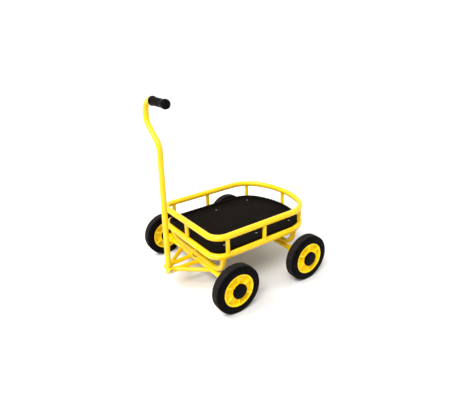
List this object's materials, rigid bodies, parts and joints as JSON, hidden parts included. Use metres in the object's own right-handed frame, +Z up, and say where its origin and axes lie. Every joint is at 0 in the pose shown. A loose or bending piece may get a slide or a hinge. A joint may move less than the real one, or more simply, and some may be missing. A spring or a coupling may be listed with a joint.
{
  "type": "pull wagon",
  "caption": "Child's pull wagon: flat bed inside tube rails on spoked wheels, with a swivelling front axle and a tall bent-tube handle that folds down.",
  "frame": {"origin": "on the floor under the middle of the wagon, halfway between the two axles", "axes": "+X forwards, towards the pulling handle; +Y to the wagon's left; +Z up"},
  "size_m": [0.657, 0.638, 0.7914],
  "materials": {
    "frame_paint": "gloss",
    "rim_plastic": "gloss",
    "tyre_rubber": "matte",
    "cap_plastic": "satin",
    "deck_plastic": "satin",
    "grip_rubber": "satin",
    "nylon": "satin",
    "zinc_steel": "satin",
    "bearing_steel": "satin"
  },
  "bodies": {
    "chassis": {"top_rail": "frame_paint", "lower_rail": "frame_paint", "post_front": "frame_paint", "post_rear": "frame_paint", "post_side_front_left": "frame_paint", "post_side_front_right": "frame_paint", "post_side_middle_left": "frame_paint", "post_side_middle_right": "frame_paint", "post_rear_corner_left": "frame_paint", "post_rear_corner_right": "frame_paint", "front_hoop": "frame_paint", "rear_hoop": "frame_paint", "deck_crossbars": "frame_paint", "deck": "deck_plastic", "deck_screws": "zinc_steel", "rear_axle_tube": "frame_paint", "rear_axle_collars": "frame_paint", "rear_axle_rod": "zinc_steel", "rear_axle_washers": "zinc_steel", "rear_axle_nuts": "zinc_steel", "steering_head": "frame_paint", "steering_washer": "zinc_steel", "king_pin": "frame_paint", "king_pin_nut": "zinc_steel"},
    "steering": {"front_axle_tube": "frame_paint", "front_axle_boss": "frame_paint", "front_axle_collars": "frame_paint", "front_axle_stubs": "zinc_steel", "front_axle_washers": "zinc_steel", "front_axle_nuts": "zinc_steel", "drawbar_tube_left": "frame_paint", "drawbar_tube_right": "frame_paint", "drawbar_brace_left": "frame_paint", "drawbar_brace_right": "frame_paint", "handle_pivot_bolt": "zinc_steel", "handle_pivot_nut": "zinc_steel"},
    "handle": {"handle_tube": "frame_paint", "handle_bush": "nylon", "handle_grip": "grip_rubber"},
    "wheel_front_left": {"tyre_front_left": "tyre_rubber", "rim_front_left": "rim_plastic", "hub_cap_front_left": "cap_plastic", "dust_boot_front_left": "cap_plastic", "wheel_bearings_front_left": "bearing_steel"},
    "wheel_front_right": {"tyre_front_right": "tyre_rubber", "rim_front_right": "rim_plastic", "hub_cap_front_right": "cap_plastic", "dust_boot_front_right": "cap_plastic", "wheel_bearings_front_right": "bearing_steel"},
    "wheel_rear_left": {"tyre_rear_left": "tyre_rubber", "rim_rear_left": "rim_plastic", "hub_cap_rear_left": "cap_plastic", "dust_boot_rear_left": "cap_plastic", "wheel_bearings_rear_left": "bearing_steel"},
    "wheel_rear_right": {"tyre_rear_right": "tyre_rubber", "rim_rear_right": "rim_plastic", "hub_cap_rear_right": "cap_plastic", "dust_boot_rear_right": "cap_plastic", "wheel_bearings_rear_right": "bearing_steel"}
  },
  "joints": [
    {"name": "steering_turn", "type": "hinge", "parent": "chassis", "child": "steering", "pos_m": [0.185, 0, 0.1], "axis": [0, 0, 1], "range_deg": [-25, 25]},
    {"name": "handle_fold", "type": "hinge", "parent": "steering", "child": "handle", "pos_m": [0.32, 0, 0.096], "axis": [0, 1, 0], "range_deg": [-15, 92]},
    {"name": "wheel_spin_front_left", "type": "hinge", "parent": "steering", "child": "wheel_front_left", "pos_m": [0.185, 0.2885, 0.1], "axis": [0, 1, 0], "continuous": true},
    {"name": "wheel_spin_front_right", "type": "hinge", "parent": "steering", "child": "wheel_front_right", "pos_m": [0.185, -0.2885, 0.1], "axis": [0, 1, 0], "continuous": true},
    {"name": "wheel_spin_rear_left", "type": "hinge", "parent": "chassis", "child": "wheel_rear_left", "pos_m": [-0.185, 0.2885, 0.1], "axis": [0, 1, 0], "continuous": true},
    {"name": "wheel_spin_rear_right", "type": "hinge", "parent": "chassis", "child": "wheel_rear_right", "pos_m": [-0.185, -0.2885, 0.1], "axis": [0, 1, 0], "continuous": true}
  ]
}
